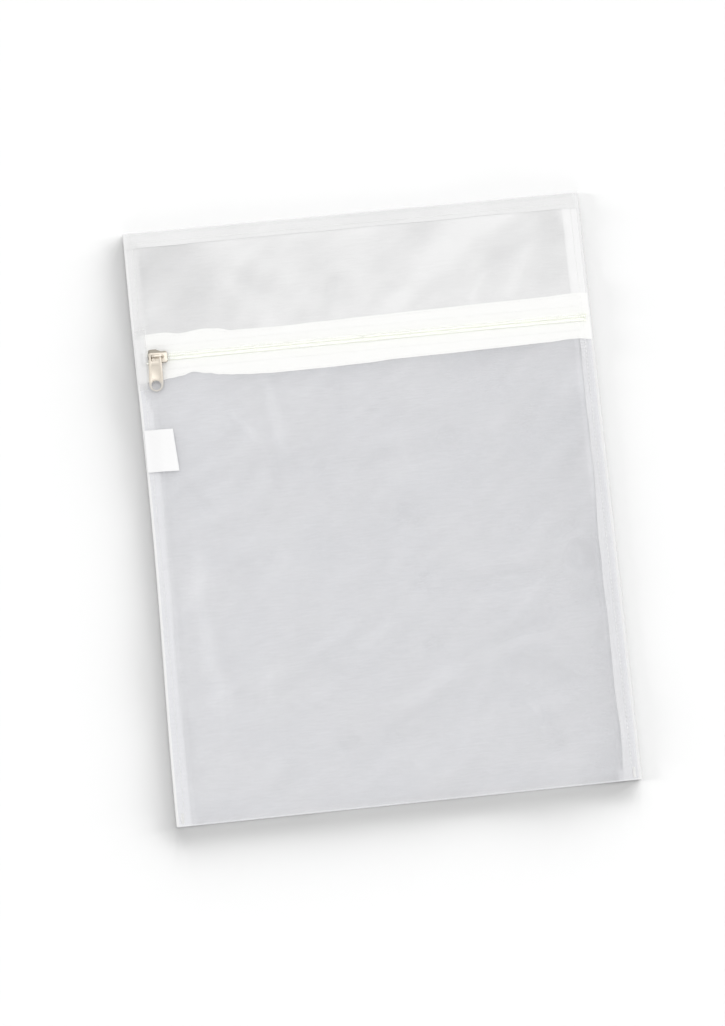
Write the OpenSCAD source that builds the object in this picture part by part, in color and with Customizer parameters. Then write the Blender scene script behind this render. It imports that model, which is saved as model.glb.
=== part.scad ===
// Flat zipped mesh bag for delicate laundry, lying closed on its back.
// X runs along the zip, Y towards the top edge and Z up from the surface it lies on.

/* [Bag] */
// Width over both side seams
bag_w = 350; // [250:5:450]
// Length from the bottom fold to the top edge
bag_l = 450; // [360:5:600]
// Clear height between the back and the front of the empty bag
inside_h = 4.6; // [4.4:0.1:12]
// Thickness of the mesh cloth
mesh_t = 0.4; // [0.3:0.05:0.8]

/* [Seams] */
// Sewn width of a side seam
side_seam_w = 9; // [7:0.5:14]
// Sewn width of the top seam
top_seam_w = 11; // [8:0.5:16]
// Thickness of the rolled outer edge of a seam
seam_edge_t = 2.4; // [1.6:0.1:3.2]
// Width of the sloping part between a seam's flat top and its rolled edge
seam_slope_w = 4; // [3:0.25:5]
// Width of a row of stitches
stitch_w = 0.5; // [0.3:0.05:0.8]
// Height of a row of stitches above the cloth
stitch_h = 0.2; // [0.1:0.05:0.4]
// Distance of the seam stitching from a seam's inner edge
stitch_inset = 2; // [1:0.25:4]
// Length of the bar tacks that lock the lower ends of the side seams
tack_l = 8; // [6:1:20]
// Width of the bar tacks
tack_w = 2.5; // [1.5:0.25:4.5]

/* [Zip] */
// Distance from the top edge to the middle of the zip
zip_from_top = 98; // [80:1:140]
// Width of one zip tape
tape_w = 16; // [13:0.5:20]
// Thickness of the zip tape
tape_t = 0.5; // [0.4:0.05:0.8]
// Gap between the inner edges of the two tapes
tape_gap = 2.6; // [2.4:0.1:4]
// Width over which a tape laps the edge of the mesh
tape_lap = 9.5; // [6:0.5:10]
// Distance of the outer row of tape stitching from the tape's edge
tape_stitch_inset = 1.5; // [1:0.25:3]
// Length along the zip of one turn of the coil
coil_pitch = 1.6; // [1.5:0.05:2]
// Thickness of the coil's filament
filament = 0.7; // [0.5:0.05:0.7]
// Height of the coil above the tape
coil_h = 2.4; // [2.2:0.1:3]
// Distance from the middle of the zip to the back of a closed coil
coil_back = 3; // [2.6:0.1:3.6]
// How far a coil's heads reach past the middle of the zip
head_reach = 0.6; // [0.3:0.05:0.9]
// Diameter of the cord inside a coil
core_d = 0.8; // [0.5:0.05:0.85]

/* [Slider] */
// Length of the slider along the zip
slider_l = 14; // [13:0.5:18]
// Distance from the bag's left edge to the parked slider
slider_park = 12; // [11.5:0.5:30]
// Thickness of the slider's top and bottom plates
plate_t = 1; // [0.8:0.1:1.4]
// Thickness of the slider's side flanges
flange_t = 0.8; // [0.6:0.05:1.2]
// Width of the wedge that parts the coils
wedge_w = 1.8; // [1.4:0.1:2]
// Radius of the slider's corners
slider_r = 1.4; // [0.8:0.1:1.8]
// Length of the crown over the slider
crown_l = 9; // [8.6:0.2:10]
// Width of the crown's bar
crown_w = 1.4; // [1:0.1:1.6]
// Thickness of the crown's bar
crown_t = 1.2; // [0.9:0.1:1.4]
// Clear height under the crown
crown_h = 4.4; // [4:0.1:6]

/* [Puller] */
// Length of the puller
puller_l = 29; // [24:1:45]
// Thickness of the puller
puller_t = 1.4; // [1:0.1:1.6]
// Width of the opening of the puller's eye
eye_w = 6; // [5:0.1:6.4]
// Length of the opening of the puller's eye
eye_l = 4.6; // [4.2:0.1:6]
// Width of the bars round the eye
eye_bar = 1.7; // [1.2:0.1:1.8]
// Outer radius of the puller's round end
tip_r = 5.4; // [4.4:0.1:7]
// Radius of the hole in the round end
tip_hole_r = 3.6; // [1.5:0.1:4]
// Width of the ring that is left between that hole and the tip
tip_ring = 1.2; // [0.8:0.1:2.5]
// Depth of the bare panel pressed into the puller
panel_depth = 0.25; // [0.1:0.05:0.4]
// Width of the raised rim round that panel
rim_w = 1.3; // [0.8:0.1:2]
// Sideways lean of the hanging puller, in degrees
puller_skew = 3.5; // [0:0.5:6]

/* [Label] */
// Length of the care label, out of the seam
label_l = 23; // [15:1:40]
// Width of the care label along the seam
label_w = 32; // [20:1:50]
// Thickness of the care label
label_t = 0.3; // [0.2:0.05:0.6]
// Distance from the bottom fold to the middle of the care label
label_from_bottom = 282; // [60:1:300]
// Distance from the bag's left edge to the label's sewn edge
label_inset = 3; // [2:0.5:6]

/* [Clearances] */
// Gap round pieces that move
run_gap = 0.3; // [0.25:0.05:0.4]
// Gap between the puller's tip and the cloth below it
tip_gap = 0.5; // [0.3:0.1:1.5]

/* [Hidden] */
$fn = 48;
arc_step = 9;

mesh_colour = [0.86, 0.86, 0.87];
seam_colour = [0.92, 0.92, 0.92];
tape_colour = [0.98, 0.98, 0.97];
coil_colour = [0.97, 0.98, 0.94];
thread_colour = [0.95, 0.95, 0.95];
metal_colour = [0.72, 0.66, 0.56];
label_colour = [1, 1, 1];

// Levels, from the surface up
front_z = mesh_t + inside_h;
front_top = front_z + mesh_t;
tape_top = front_top + tape_t;
coil_top = tape_top + coil_h;
low_plate_top = front_top - run_gap;
high_plate_z = coil_top + stitch_h + run_gap;
high_plate_top = high_plate_z + plate_t;

// Edges of the panels
half_w = bag_w / 2;
half_l = bag_l / 2;
seam_in_x = half_w - side_seam_w;
seam_in_y = half_l - top_seam_w;
seam_flat = side_seam_w - seam_slope_w;
seam_edge_r = seam_edge_t / 2;
zip_y = half_l - zip_from_top;
tape_in = tape_gap / 2;
tape_out = tape_in + tape_w;
mesh_edge = tape_out - tape_lap;

// The flap is the cloth above the zip, with a gap to the seams round it
flap_half_w = seam_in_x - run_gap;
flap_top_y = seam_in_y - run_gap;
coil_half_l = flap_half_w - filament;
turns = floor(2 * coil_half_l / coil_pitch);

// The slider stands at the closed end, with its two throats to the left
slider_x = -half_w + slider_park + slider_l / 2;
part_reach = wedge_w / 2 + run_gap + head_reach;
throat_back = coil_back + part_reach + run_gap;
chain_back = coil_back + run_gap;
slider_front_w = 2 * (throat_back + flange_t);
slider_rear_w = 2 * (chain_back + flange_t);

// Where along the slider its wedge starts and the coils part, as shares of its length
wedge_tip = -slider_l / 28;
wedge_full = -slider_l * 3 / 14;
part_start = slider_l * 5 / 28;
part_full = -part_start;
channel_shift = slider_l / 14;

// The puller hangs with the crown's front foot in its eye and one bar of the eye below the crown
puller_w = eye_w + 2 * eye_bar;
foot_mid = -crown_l / 2 + crown_t / 2;
puller_u = foot_mid + eye_w / 2 - crown_t / 2 - run_gap;
pivot_v = crown_w / 2 + run_gap + eye_bar / 2;
tip_reach = puller_l - eye_bar / 2 - pivot_v;
rest_edge_z = high_plate_top + run_gap;
rest_tip_z = front_top + tip_gap;
puller_tilt = atan((rest_edge_z - rest_tip_z) / (tip_reach - slider_front_w / 2));
pivot_under_z = rest_edge_z + (slider_front_w / 2 + pivot_v) * tan(puller_tilt);
pivot_z = pivot_under_z + puller_t / 2 / cos(puller_tilt);

// The label stays below the hanging puller and the tape, also on a short bag
label_x = -half_w + label_inset;
label_room = zip_y - max(puller_l, tape_out) - label_w / 2;
label_y = min(-half_l + label_from_bottom, label_room);
label_z = front_top + stitch_h + run_gap;

// How far the coils are parted at a distance u along the slider: 0 behind it, all of it at its front
function ease(t) = t * t * (3 - 2 * t);
function parted(u) = part_reach * ease(min(max((part_start - u) / (part_start - part_full), 0), 1));

// Points along an arc round the point c, one every few degrees
function arc(c, r, from, to) =
    let (steps = ceil(abs(to - from) / arc_step))
    [for (i = [0 : steps]) c + r * [cos(from + (to - from) * i / steps), sin(from + (to - from) * i / steps)]];

// An outline's lower half, from the points of its upper half
function mirrored(points) = [for (i = [len(points) - 1 : -1 : 0]) [points[i].x, -points[i].y]];

// Angle at which a line from the point p touches a circle of radius r round the point c
function touch_angle(p, c, r) = atan2(p.y - c.y, p.x - c.x) - acos(r / norm(p - c));

module box(low, high) {
    translate(low)
        cube(high - low);
}

module rounded_square(size, r) {
    c = size / 2 - [r, r];
    polygon(concat(
        arc([c.x, c.y], r, 0, 90),
        arc([-c.x, c.y], r, 90, 180),
        arc([-c.x, -c.y], r, 180, 270),
        arc([c.x, -c.y], r, 270, 360)
    ));
}

// Section of a seam: flat on top over its inner part, then falling to a rolled edge
module seam_section(width) {
    shoulder = [width - seam_slope_w, front_top];
    roll = [width - seam_edge_r, seam_edge_r];
    polygon(concat(
        [[0, 0]],
        arc(roll, seam_edge_r, -90, touch_angle(shoulder, roll, seam_edge_r)),
        [shoulder, [0, front_top]]
    ));
}

module right_seam_shape() {
    translate([seam_in_x, half_l, 0])
        rotate([90, 0, 0])
            linear_extrude(bag_l)
                seam_section(side_seam_w);
}

// Section of the main cloth: the back, the bottom fold and the front up to the zip
module body_section() {
    fold_r = front_top / 2;
    fold_y = -half_l + fold_r;
    union() {
        translate([fold_y, 0])
            square([seam_in_y - fold_y, mesh_t]);
        translate([fold_y, front_z])
            square([zip_y - mesh_edge - fold_y, mesh_t]);
        difference() {
            translate([fold_y, fold_r])
                circle(fold_r);
            translate([fold_y, fold_r])
                circle(fold_r - mesh_t);
            translate([fold_y, 0])
                square([fold_r, front_top]);
        }
    }
}

module body_panel() {
    color(mesh_colour)
        translate([-seam_in_x, 0, 0])
            rotate([90, 0, 90])
                linear_extrude(2 * seam_in_x)
                    body_section();
}

module right_side_seam() {
    color(seam_colour)
        right_seam_shape();
}

module left_side_seam() {
    color(seam_colour)
        mirror([1, 0, 0])
            right_seam_shape();
}

module top_seam() {
    color(seam_colour)
        translate([-seam_in_x, seam_in_y, 0])
            rotate([90, 0, 90])
                linear_extrude(2 * seam_in_x)
                    seam_section(top_seam_w);
}

// Stitches along a side seam: up to the zip, over the tape ends, and on to the top edge
module seam_row() {
    x0 = seam_in_x + stitch_inset;
    x1 = x0 + stitch_w;
    low_y = -half_l + tack_l + 2 * stitch_inset;
    box([x0, low_y, front_top], [x1, zip_y - tape_out, front_top + stitch_h]);
    box([x0, zip_y - tape_out, tape_top], [x1, zip_y - tape_in, tape_top + stitch_h]);
    box([x0, zip_y + tape_in, tape_top], [x1, zip_y + tape_out, tape_top + stitch_h]);
    box([x0, zip_y + tape_out, front_top], [x1, half_l - stitch_inset, front_top + stitch_h]);
}

module right_seam_stitching() {
    color(thread_colour)
        seam_row();
}

module left_seam_stitching() {
    color(thread_colour)
        mirror([1, 0, 0])
            seam_row();
}

module top_seam_stitching() {
    y0 = seam_in_y + stitch_inset;
    color(thread_colour)
        box([-seam_in_x, y0, front_top], [seam_in_x, y0 + stitch_w, front_top + stitch_h]);
}

// Dense stitches across the lower end of a side seam
module tack() {
    x0 = seam_in_x + seam_flat - tack_w;
    y0 = -half_l + stitch_inset;
    box([x0, y0, front_top], [x0 + tack_w, y0 + tack_l, front_top + stitch_h]);
}

module right_bottom_tack() {
    color(thread_colour)
        tack();
}

module left_bottom_tack() {
    color(thread_colour)
        mirror([1, 0, 0])
            tack();
}

module zip_tape_lower() {
    reach = seam_in_x + seam_flat;
    color(tape_colour)
        box([-reach, zip_y - tape_out, front_top], [reach, zip_y - tape_in, tape_top]);
}

module zip_tape_upper() {
    color(tape_colour)
        box([-flap_half_w, zip_y + tape_in, front_top], [flap_half_w, zip_y + tape_out, tape_top]);
}

// End of the upper tape that lies sewn down on a side seam
module upper_tape_end() {
    box([seam_in_x, zip_y + tape_in, front_top], [seam_in_x + seam_flat, zip_y + tape_out, tape_top]);
}

module upper_tape_right_end() {
    color(tape_colour)
        upper_tape_end();
}

module upper_tape_left_end() {
    color(tape_colour)
        mirror([1, 0, 0])
            upper_tape_end();
}

// Two rows of stitches that hold a tape on the mesh, at distances v from the middle of the zip
module tape_rows(side) {
    for (v = [tape_out - tape_stitch_inset, mesh_edge + tape_stitch_inset])
        translate([0, zip_y + side * v, tape_top + stitch_h / 2])
            cube([2 * flap_half_w, stitch_w, stitch_h], center = true);
}

module lower_tape_stitching() {
    color(thread_colour)
        tape_rows(-1);
}

module upper_tape_stitching() {
    color(thread_colour)
        tape_rows(1);
}

module upper_front_panel() {
    color(mesh_colour)
        box([-flap_half_w, zip_y + mesh_edge, front_z], [flap_half_w, flap_top_y, front_top]);
}

// One turn of a coil seen along the zip: along the tape, round the head and back over the cord
module turn_section() {
    bend = coil_h / 2;
    head = [bend - head_reach, bend];
    difference() {
        union() {
            translate(head)
                circle(bend);
            translate([head.x, 0])
                square([coil_back - head.x, coil_h]);
        }
        translate(head)
            circle(bend - filament);
        translate([head.x, filament])
            square([coil_back, coil_h - 2 * filament]);
    }
}

// A coil lies on its tape; the turns of the two sides mesh half a pitch apart
module coil(side) {
    for (i = [0 : turns - 1]) {
        x = -coil_half_l + (i + (side > 0 ? 0.5 : 0)) * coil_pitch;
        v = zip_y + side * parted(x - slider_x);
        translate([x - side * filament / 2, v, tape_top])
            rotate([90, 0, side * 90])
                linear_extrude(filament)
                    turn_section();
    }
}

// Cord held inside a closed coil, from behind the slider to the right end
module core(side) {
    x0 = slider_x + part_start;
    translate([x0, zip_y + side * (coil_back - head_reach) / 2, tape_top + coil_h / 2])
        rotate([0, 90, 0])
            cylinder(d = core_d, h = coil_half_l - x0);
}

// Row of stitches over the backs of a coil
module coil_row(side) {
    translate([0, zip_y + side * (coil_back - filament), coil_top + stitch_h / 2])
        cube([2 * coil_half_l, stitch_w, stitch_h], center = true);
}

module coil_lower() {
    color(coil_colour)
        coil(-1);
}

module coil_upper() {
    color(coil_colour)
        coil(1);
}

module core_lower() {
    color(thread_colour)
        core(-1);
}

module core_upper() {
    color(thread_colour)
        core(1);
}

module coil_stitch_lower() {
    color(thread_colour)
        coil_row(-1);
}

module coil_stitch_upper() {
    color(thread_colour)
        coil_row(1);
}

// Plan of the slider: wide over the two throats at the left, narrow over the closed chain
module slider_plan() {
    corner = slider_l / 2 - slider_r;
    upper = concat(
        arc([corner, slider_rear_w / 2 - slider_r], slider_r, 0, 90),
        [[slider_r + channel_shift, slider_rear_w / 2], [-slider_r, slider_front_w / 2]],
        arc([-corner, slider_front_w / 2 - slider_r], slider_r, 90, 180)
    );
    polygon(concat(upper, mirrored(upper)));
}

// Plan of the way through the slider for both coils
module channel_plan() {
    end = slider_l;
    bend_front = part_full + channel_shift;
    bend_rear = part_start + channel_shift;
    polygon([
        [-end, -throat_back], [bend_front, -throat_back], [bend_rear, -chain_back], [end, -chain_back],
        [end, chain_back], [bend_rear, chain_back], [bend_front, throat_back], [-end, throat_back]
    ]);
}

module wedge_plan() {
    front = -slider_l / 2 + slider_r;
    polygon([
        [wedge_tip, 0], [wedge_full, wedge_w / 2], [front, wedge_w / 2],
        [front, -wedge_w / 2], [wedge_full, -wedge_w / 2]
    ]);
}

// Arched bar along the slider that holds the puller
module crown_outline() {
    bar_r = 2 * crown_t;
    tall = crown_h + crown_t;
    difference() {
        union() {
            translate([-crown_l / 2, 0])
                square([crown_l, tall - bar_r]);
            translate([-crown_l / 2 + bar_r, 0])
                square([crown_l - 2 * bar_r, tall]);
            for (s = [-1, 1])
                translate([s * (crown_l / 2 - bar_r), tall - bar_r])
                    circle(bar_r);
        }
        translate([-crown_l / 2 + crown_t, -crown_t])
            square([crown_l - 2 * crown_t, tall - bar_r + crown_t]);
        translate([-crown_l / 2 + bar_r, -crown_t])
            square([crown_l - 2 * bar_r, crown_h + crown_t]);
        for (s = [-1, 1])
            translate([s * (crown_l / 2 - bar_r), tall - bar_r])
                circle(bar_r - crown_t);
    }
}

module slider_body() {
    flange_z = tape_top + run_gap;
    color(metal_colour)
        translate([slider_x, zip_y, 0])
            union() {
                translate([0, 0, low_plate_top - plate_t])
                    linear_extrude(plate_t)
                        slider_plan();
                translate([0, 0, low_plate_top])
                    linear_extrude(high_plate_z - low_plate_top)
                        wedge_plan();
                translate([0, 0, flange_z])
                    linear_extrude(high_plate_z - flange_z)
                        difference() {
                            slider_plan();
                            channel_plan();
                        }
                translate([0, 0, high_plate_z])
                    linear_extrude(plate_t)
                        slider_plan();
                translate([0, crown_w / 2, high_plate_top])
                    rotate([90, 0, 0])
                        linear_extrude(crown_w)
                            crown_outline();
            }
}

// Plan of the puller, with the middle of its eye bar at the origin and its tip towards -Y
module puller_plan() {
    top = eye_bar / 2;
    tip = top - puller_l + tip_r;
    eye_mid = -eye_bar / 2 - eye_l / 2;
    corner = [puller_w / 2 - eye_bar, top - eye_bar];
    difference() {
        polygon(concat(
            arc(corner, eye_bar, 0, 90),
            arc([-corner.x, corner.y], eye_bar, 90, 180),
            arc([0, tip], tip_r, 180, 360)
        ));
        translate([0, eye_mid])
            rounded_square([eye_w, eye_l], eye_bar / 2);
        translate([0, top - puller_l + tip_ring + tip_hole_r])
            circle(tip_hole_r);
    }
}

// Sunk panel on the face of the puller, between the eye and the hole
module puller_recess() {
    high = -eye_bar / 2 - eye_l - eye_bar - rim_w;
    low = eye_bar / 2 - puller_l + tip_ring + 2 * tip_hole_r + rim_w;
    translate([0, (high + low) / 2])
        rounded_square([puller_w - 2 * rim_w, high - low], rim_w);
}

module pull_tab() {
    color(metal_colour)
        translate([slider_x + puller_u, zip_y + pivot_v, pivot_z])
            rotate([0, 0, -puller_skew])
                rotate([puller_tilt, 0, 0])
                    difference() {
                        translate([0, 0, -puller_t / 2])
                            linear_extrude(puller_t)
                                puller_plan();
                        translate([0, 0, puller_t / 2 - panel_depth])
                            linear_extrude(puller_t)
                                puller_recess();
                    }
}

module care_label() {
    color(label_colour)
        translate([label_x, label_y - label_w / 2, label_z])
            cube([label_l, label_w, label_t]);
}

body_panel();
left_side_seam();
right_side_seam();
top_seam();
left_seam_stitching();
right_seam_stitching();
top_seam_stitching();
left_bottom_tack();
right_bottom_tack();
zip_tape_lower();
upper_tape_left_end();
upper_tape_right_end();
lower_tape_stitching();
coil_lower();
core_lower();
coil_stitch_lower();
upper_front_panel();
zip_tape_upper();
upper_tape_stitching();
coil_upper();
core_upper();
coil_stitch_upper();
slider_body();
pull_tab();
care_label();
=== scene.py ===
import math

import bmesh
import bpy
from mathutils import Matrix, Vector, noise


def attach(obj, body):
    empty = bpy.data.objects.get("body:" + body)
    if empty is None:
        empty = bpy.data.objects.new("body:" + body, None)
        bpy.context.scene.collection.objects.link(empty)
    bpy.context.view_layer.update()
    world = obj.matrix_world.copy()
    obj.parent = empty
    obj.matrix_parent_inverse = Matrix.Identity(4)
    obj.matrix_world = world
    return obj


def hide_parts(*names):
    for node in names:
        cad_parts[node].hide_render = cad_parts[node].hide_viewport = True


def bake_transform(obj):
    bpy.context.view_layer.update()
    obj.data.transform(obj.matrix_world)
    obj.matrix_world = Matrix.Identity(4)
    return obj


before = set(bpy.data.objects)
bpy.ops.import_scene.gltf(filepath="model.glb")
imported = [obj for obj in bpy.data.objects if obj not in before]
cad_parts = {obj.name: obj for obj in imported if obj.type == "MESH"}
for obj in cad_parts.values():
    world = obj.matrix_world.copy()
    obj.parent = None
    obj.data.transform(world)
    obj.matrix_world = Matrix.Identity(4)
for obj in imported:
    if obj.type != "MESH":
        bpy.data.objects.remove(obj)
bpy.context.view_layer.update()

# Every shape below is modelled in millimetres in the part's frame, and made metres by finish_piece.
# X runs along the zip, Y towards the top edge, Z up from the floor.
MM = 0.001

# The bag. On the front a side seam reaches SEAM_MORE further in, and PINCH of it is lost below the puller.
# The net ends TUCK inside the rolled edges.
HALF_W = 175.0
HALF_L = 225.0
FRONT_Z = 5.2
BACK_Z = 0.2
SIDE_SEAM = 9.0
SEAM_MORE = 2.0
TUCK = 1.5
PINCH = 5.4
PINCH_Y = 106.0
PINCH_RUN = 14.0
TOP_SEAM = 11.0
ROLL_R = 1.15
FOLD_DEPTH = 1.6
FOLD_Z = 2.4
FOLD_RUN = 18.0
EDGE_Z = 1.9
EDGE_RUN = 17.0
EDGE_RUN_AT_ZIP = 10.0
LEFT_PULL_IN = 2.1
CELLS_ACROSS = 190

# The zip
ZIP_Y = 127.0
TAPE_IN = 1.3
TAPE_OUT = 17.3
TAPE_Z = 5.4
TAPE_T = 0.5
TAPE_END = 171.0
TAPE_RIGHT = 174.0
FLAP_END = 165.7
MESH_EDGE = 7.8
COIL_Z = 5.9
COIL_H = 2.4
COIL_PITCH = 1.6
COIL_TURNS = 210
COIL_START = -165.0
CHAIN_FLAT = 160.0
CORE_END = 170.0
CHAIN_SEWN = 167.5
CHAIN_LEFT = -164.5
COIL_BACK = 3.0
HEAD_REACH = 0.6
FILAMENT = 0.7
CORE_W = 2.25
CORE_H = 1.7

# The slider at rest, and how far it parts the coils
SLIDER_X = -156.0
PART_REACH = 1.8
PART_HALF = 2.5

# The label
LABEL_X = -172.0
LABEL_Y = 57.0
LABEL_Z = 6.05
LABEL_L = 23.0
LABEL_W = 32.0
LABEL_T = 0.25

# The sewing: how far a row lies from the edge it holds, and the tacks at the lower ends of the side seams
SEAM_ROW = 2.25
TAPE_ROW = 1.5
TACK_LOW = -222.7
TACK_L = 7.4
TACK_IN = 5.25
TACK_PASSES = 18

# Where the upper panel ends at the top
HINGE_Y = 213.9

SIDES = {"left": -1, "right": 1}
SHARP = math.radians(40)


def ease(t):
    t = min(max(t, 0.0), 1.0)
    return t * t * (3 - 2 * t)


def mix(a, b, t):
    return a + (b - a) * t


def bump_at(x, y, at, across, along):
    """A round swelling of height 1 at a point, with its half widths."""
    return math.exp(-(((x - at[0]) / across) ** 2) - ((y - at[1]) / along) ** 2)


# Finishing a piece

def finish_piece(name, bm, material):
    """The finished piece's object, at the origin, with its place in its mesh."""
    bmesh.ops.scale(bm, vec=(MM, MM, MM), verts=bm.verts)
    mesh = bpy.data.meshes.new(name)
    bm.to_mesh(mesh)
    bm.free()
    piece = bpy.data.objects.new(name, mesh)
    bpy.context.scene.collection.objects.link(piece)
    mesh.shade_smooth()
    mesh.materials.append(material)
    return piece


def thicken(piece, thickness):
    """Gives a sheet its thickness, half to each side, with crisp cut edges."""
    wall = piece.modifiers.new("thickness", "SOLIDIFY")
    wall.thickness = thickness * MM
    wall.offset = 0.0
    bpy.context.view_layer.update()
    thin = piece.data
    piece.data = bpy.data.meshes.new_from_object(piece.evaluated_get(bpy.context.evaluated_depsgraph_get()))
    piece.modifiers.clear()
    bpy.data.meshes.remove(thin)
    piece.data.set_sharp_from_angle(angle=SHARP)
    return piece


def sheet_grid(across, along, place, closeness=None):
    """A sheet of across by along cells, each corner put where place(a, b) says, for a and b from 0 to 1.
    place gives the point and the point of the flat cut, which becomes the sheet's UV.
    closeness says how much closer than usual the net's threads lie at a point."""
    bm = bmesh.new()
    bmesh.ops.create_grid(bm, x_segments=across, y_segments=along, size=0.5)
    uv = bm.loops.layers.uv.new("cut")
    close = bm.verts.layers.float.new("close")
    flat = {}
    for v in bm.verts:
        v.co, flat[v] = place(v.co.x + 0.5, v.co.y + 0.5)
        v[close] = closeness(v.co) if closeness else 0.0
    for face in bm.faces:
        for loop in face.loops:
            loop[uv].uv = flat[loop.vert]
    return bm


def half_of(bm, side):
    """The right half of a mesh for side 1, the left for -1, cut at the middle of the bag."""
    half = bm.copy()
    bmesh.ops.bisect_plane(
        half, geom=half.verts[:] + half.edges[:] + half.faces[:], dist=1e-5,
        plane_co=(0, 0, 0), plane_no=(side, 0, 0), clear_inner=True,
    )
    return half


def stay_with_bag(piece, node):
    """The piece stays with the bag, and stands for the node."""
    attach(piece, "bag")
    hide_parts(node)


def lift_with_mouth(piece, node):
    """The piece's place is baked into its mesh, and it stands for the node."""
    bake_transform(piece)
    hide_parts(node)


# Form of the lying bag

def pull_in(y):
    """How far the left edge is drawn in by its seam, most near the middle."""
    return LEFT_PULL_IN * max(0.0, 1 - (y / 190.0) ** 2) ** 2


def seam_width(side, y):
    """How far a side seam is turned in on the front.
    The left one is pinched below the puller, and the right one is wider towards its ends."""
    if side < 0:
        return SIDE_SEAM + SEAM_MORE - PINCH * math.exp(-(((y - PINCH_Y) / PINCH_RUN) ** 2))
    return SIDE_SEAM + SEAM_MORE + 2.0 * ease(-y / 50) + 1.5 * ease((y - ZIP_Y) / 20)


def edge_x(side, y):
    return side * (HALF_W - (pull_in(y) if side < 0 else 0.0))


# Soft folds and hollows of the front: two ends, half width and height
CREASES = [
    ((-140, -25), (-141, -97), 8.0, 0.8), ((-141, -97), (-134, -143), 9.0, 0.8),
    ((-78, 96), (-70, 49), 4.5, 0.7), ((-109, 82), (-89, 59), 3.5, 0.5),
    ((-2, -153), (42, -131), 8.0, 0.7), ((42, -131), (109, -108), 8.0, 0.7),
    ((62, -84), (112, -78), 7.0, 0.6), ((54, -50), (108, -48), 7.0, 0.5),
    ((-63, -107), (-30, -89), 6.0, 0.5), ((-28, -103), (-4, -90), 5.0, 0.5),
    ((92, -157), (104, -173), 3.0, 0.5), ((-95, -113), (-101, -139), 6.0, 0.4),
    ((4, -197), (28, -190), 9.0, 0.5), ((94, -216), (133, -209), 14.0, 0.5),
    ((-74, -32), (-103, -55), 7.0, 0.4), ((11, 14), (27, 24), 10.0, 0.4),
    ((-11, -177), (34, -149), 7.0, -0.9), ((81, -125), (129, -142), 8.0, -0.6),
    ((75, -110), (118, -97), 6.0, -0.7), ((58, -71), (105, -62), 6.0, -0.7),
    ((-17, 31), (11, 38), 6.0, -0.7), ((51, 50), (64, 44), 7.0, -0.7),
    ((12, -8), (29, -16), 8.0, -0.6), ((-105, -32), (-116, -48), 6.0, -0.6),
    ((147, -42), (145, -61), 10.0, -1.0), ((125, -37), (149, -28), 6.0, -0.7),
    ((22, -66), (30, -55), 6.0, -0.6), ((-47, -182), (-35, -174), 6.0, -0.5),
    ((103, -168), (113, -193), 7.0, -0.6), ((21, -114), (33, -107), 6.0, -0.5),
    ((-164, -140), (-159, -186), 5.0, -0.5), ((158, 57), (146, 4), 12.0, -0.6),
    ((-78, -190), (-102, -203), 8.0, -0.4), ((-149, 26), (-128, 8), 6.0, -0.6),
    ((-77, 38), (-75, 18), 5.0, -0.4), ((-45, 35), (-40, 30), 8.0, -0.5),
    ((27, 149), (44, 172), 8.0, 0.7), ((44, 172), (68, 194), 11.0, 0.7),
    ((68, 194), (132, 216), 14.0, 0.6), ((115, 148), (129, 180), 5.0, 0.6),
    ((86, 148), (97, 167), 4.0, 0.6), ((158, 218), (166, 178), 4.0, 0.7),
    ((-104, 183), (-67, 147), 7.0, 0.5), ((-110, 196), (-68, 192), 12.0, 0.4),
    ((0, 178), (4, 150), 8.0, 0.4), ((-157, 185), (-152, 158), 12.0, 0.5),
    ((17, 176), (58, 210), 7.0, -0.7), ((93, 156), (109, 185), 9.0, -0.55),
    ((150, 211), (150, 154), 12.0, -0.6), ((-94, 183), (-55, 166), 7.0, -0.5),
    ((-20, 176), (-27, 149), 5.0, -0.5), ((9, 150), (24, 166), 5.0, -0.5),
    ((-163, 213), (-124, 210), 12.0, -0.6), ((-51, 152), (-23, 146), 6.0, -0.4),
]


def crease_height(x, y):
    """Sum of the folds and hollows at a point. They wander a little from their straight lines."""
    at = Vector((x / 30, y / 30, 2.6))
    x, y = x + 5 * noise.noise(at), y + 5 * noise.noise(at + Vector((0, 0, 5.5)))
    total = 0.0
    for a, b, width, height in CREASES:
        dx, dy = b[0] - a[0], b[1] - a[1]
        long = dx * dx + dy * dy
        t = ((x - a[0]) * dx + (y - a[1]) * dy) / long
        if -0.3 < t < 1.3:
            off = ((x - a[0]) * dy - (y - a[1]) * dx) / math.sqrt(long)
            total += height * math.exp(-((off / width) ** 2)) * ease((t + 0.3) / 0.5) * ease((1.3 - t) / 0.5)
    return total


def calm(x, y):
    """0 where the tape, the slider, the puller or the label lies on the cloth, 1 on the open panels."""
    tape = ease((abs(y - ZIP_Y) - TAPE_OUT - 2) / 18)
    puller = 1 - bump_at(x, y, (-159, 104), 16, 20)
    label = 1 - bump_at(x, y, (LABEL_X + LABEL_L / 2, LABEL_Y), 22, 26)
    return tape * puller * label


def loose(x, y):
    """Height that the loose front cloth stands above or below its flat place."""
    broad = noise.noise(Vector((x / 80, y / 70, 3.1))) * 1.8
    small = 0.4 * rumple(x, y)
    return (broad + small + 1.4 * crease_height(x, y) - 0.35) * calm(x, y)


def rumple(x, y):
    """The small slanting folds of washed cloth, from about -1 in a hollow to 1 on a ridge."""
    bend = 14 * noise.noise(Vector((x / 70, y / 70, 1.7)))
    return noise.noise(Vector(((x * 0.85 + y * 0.5) / 34, (y * 0.85 - x * 0.5 + bend) / 13, 4.4))) * 1.6


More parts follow.
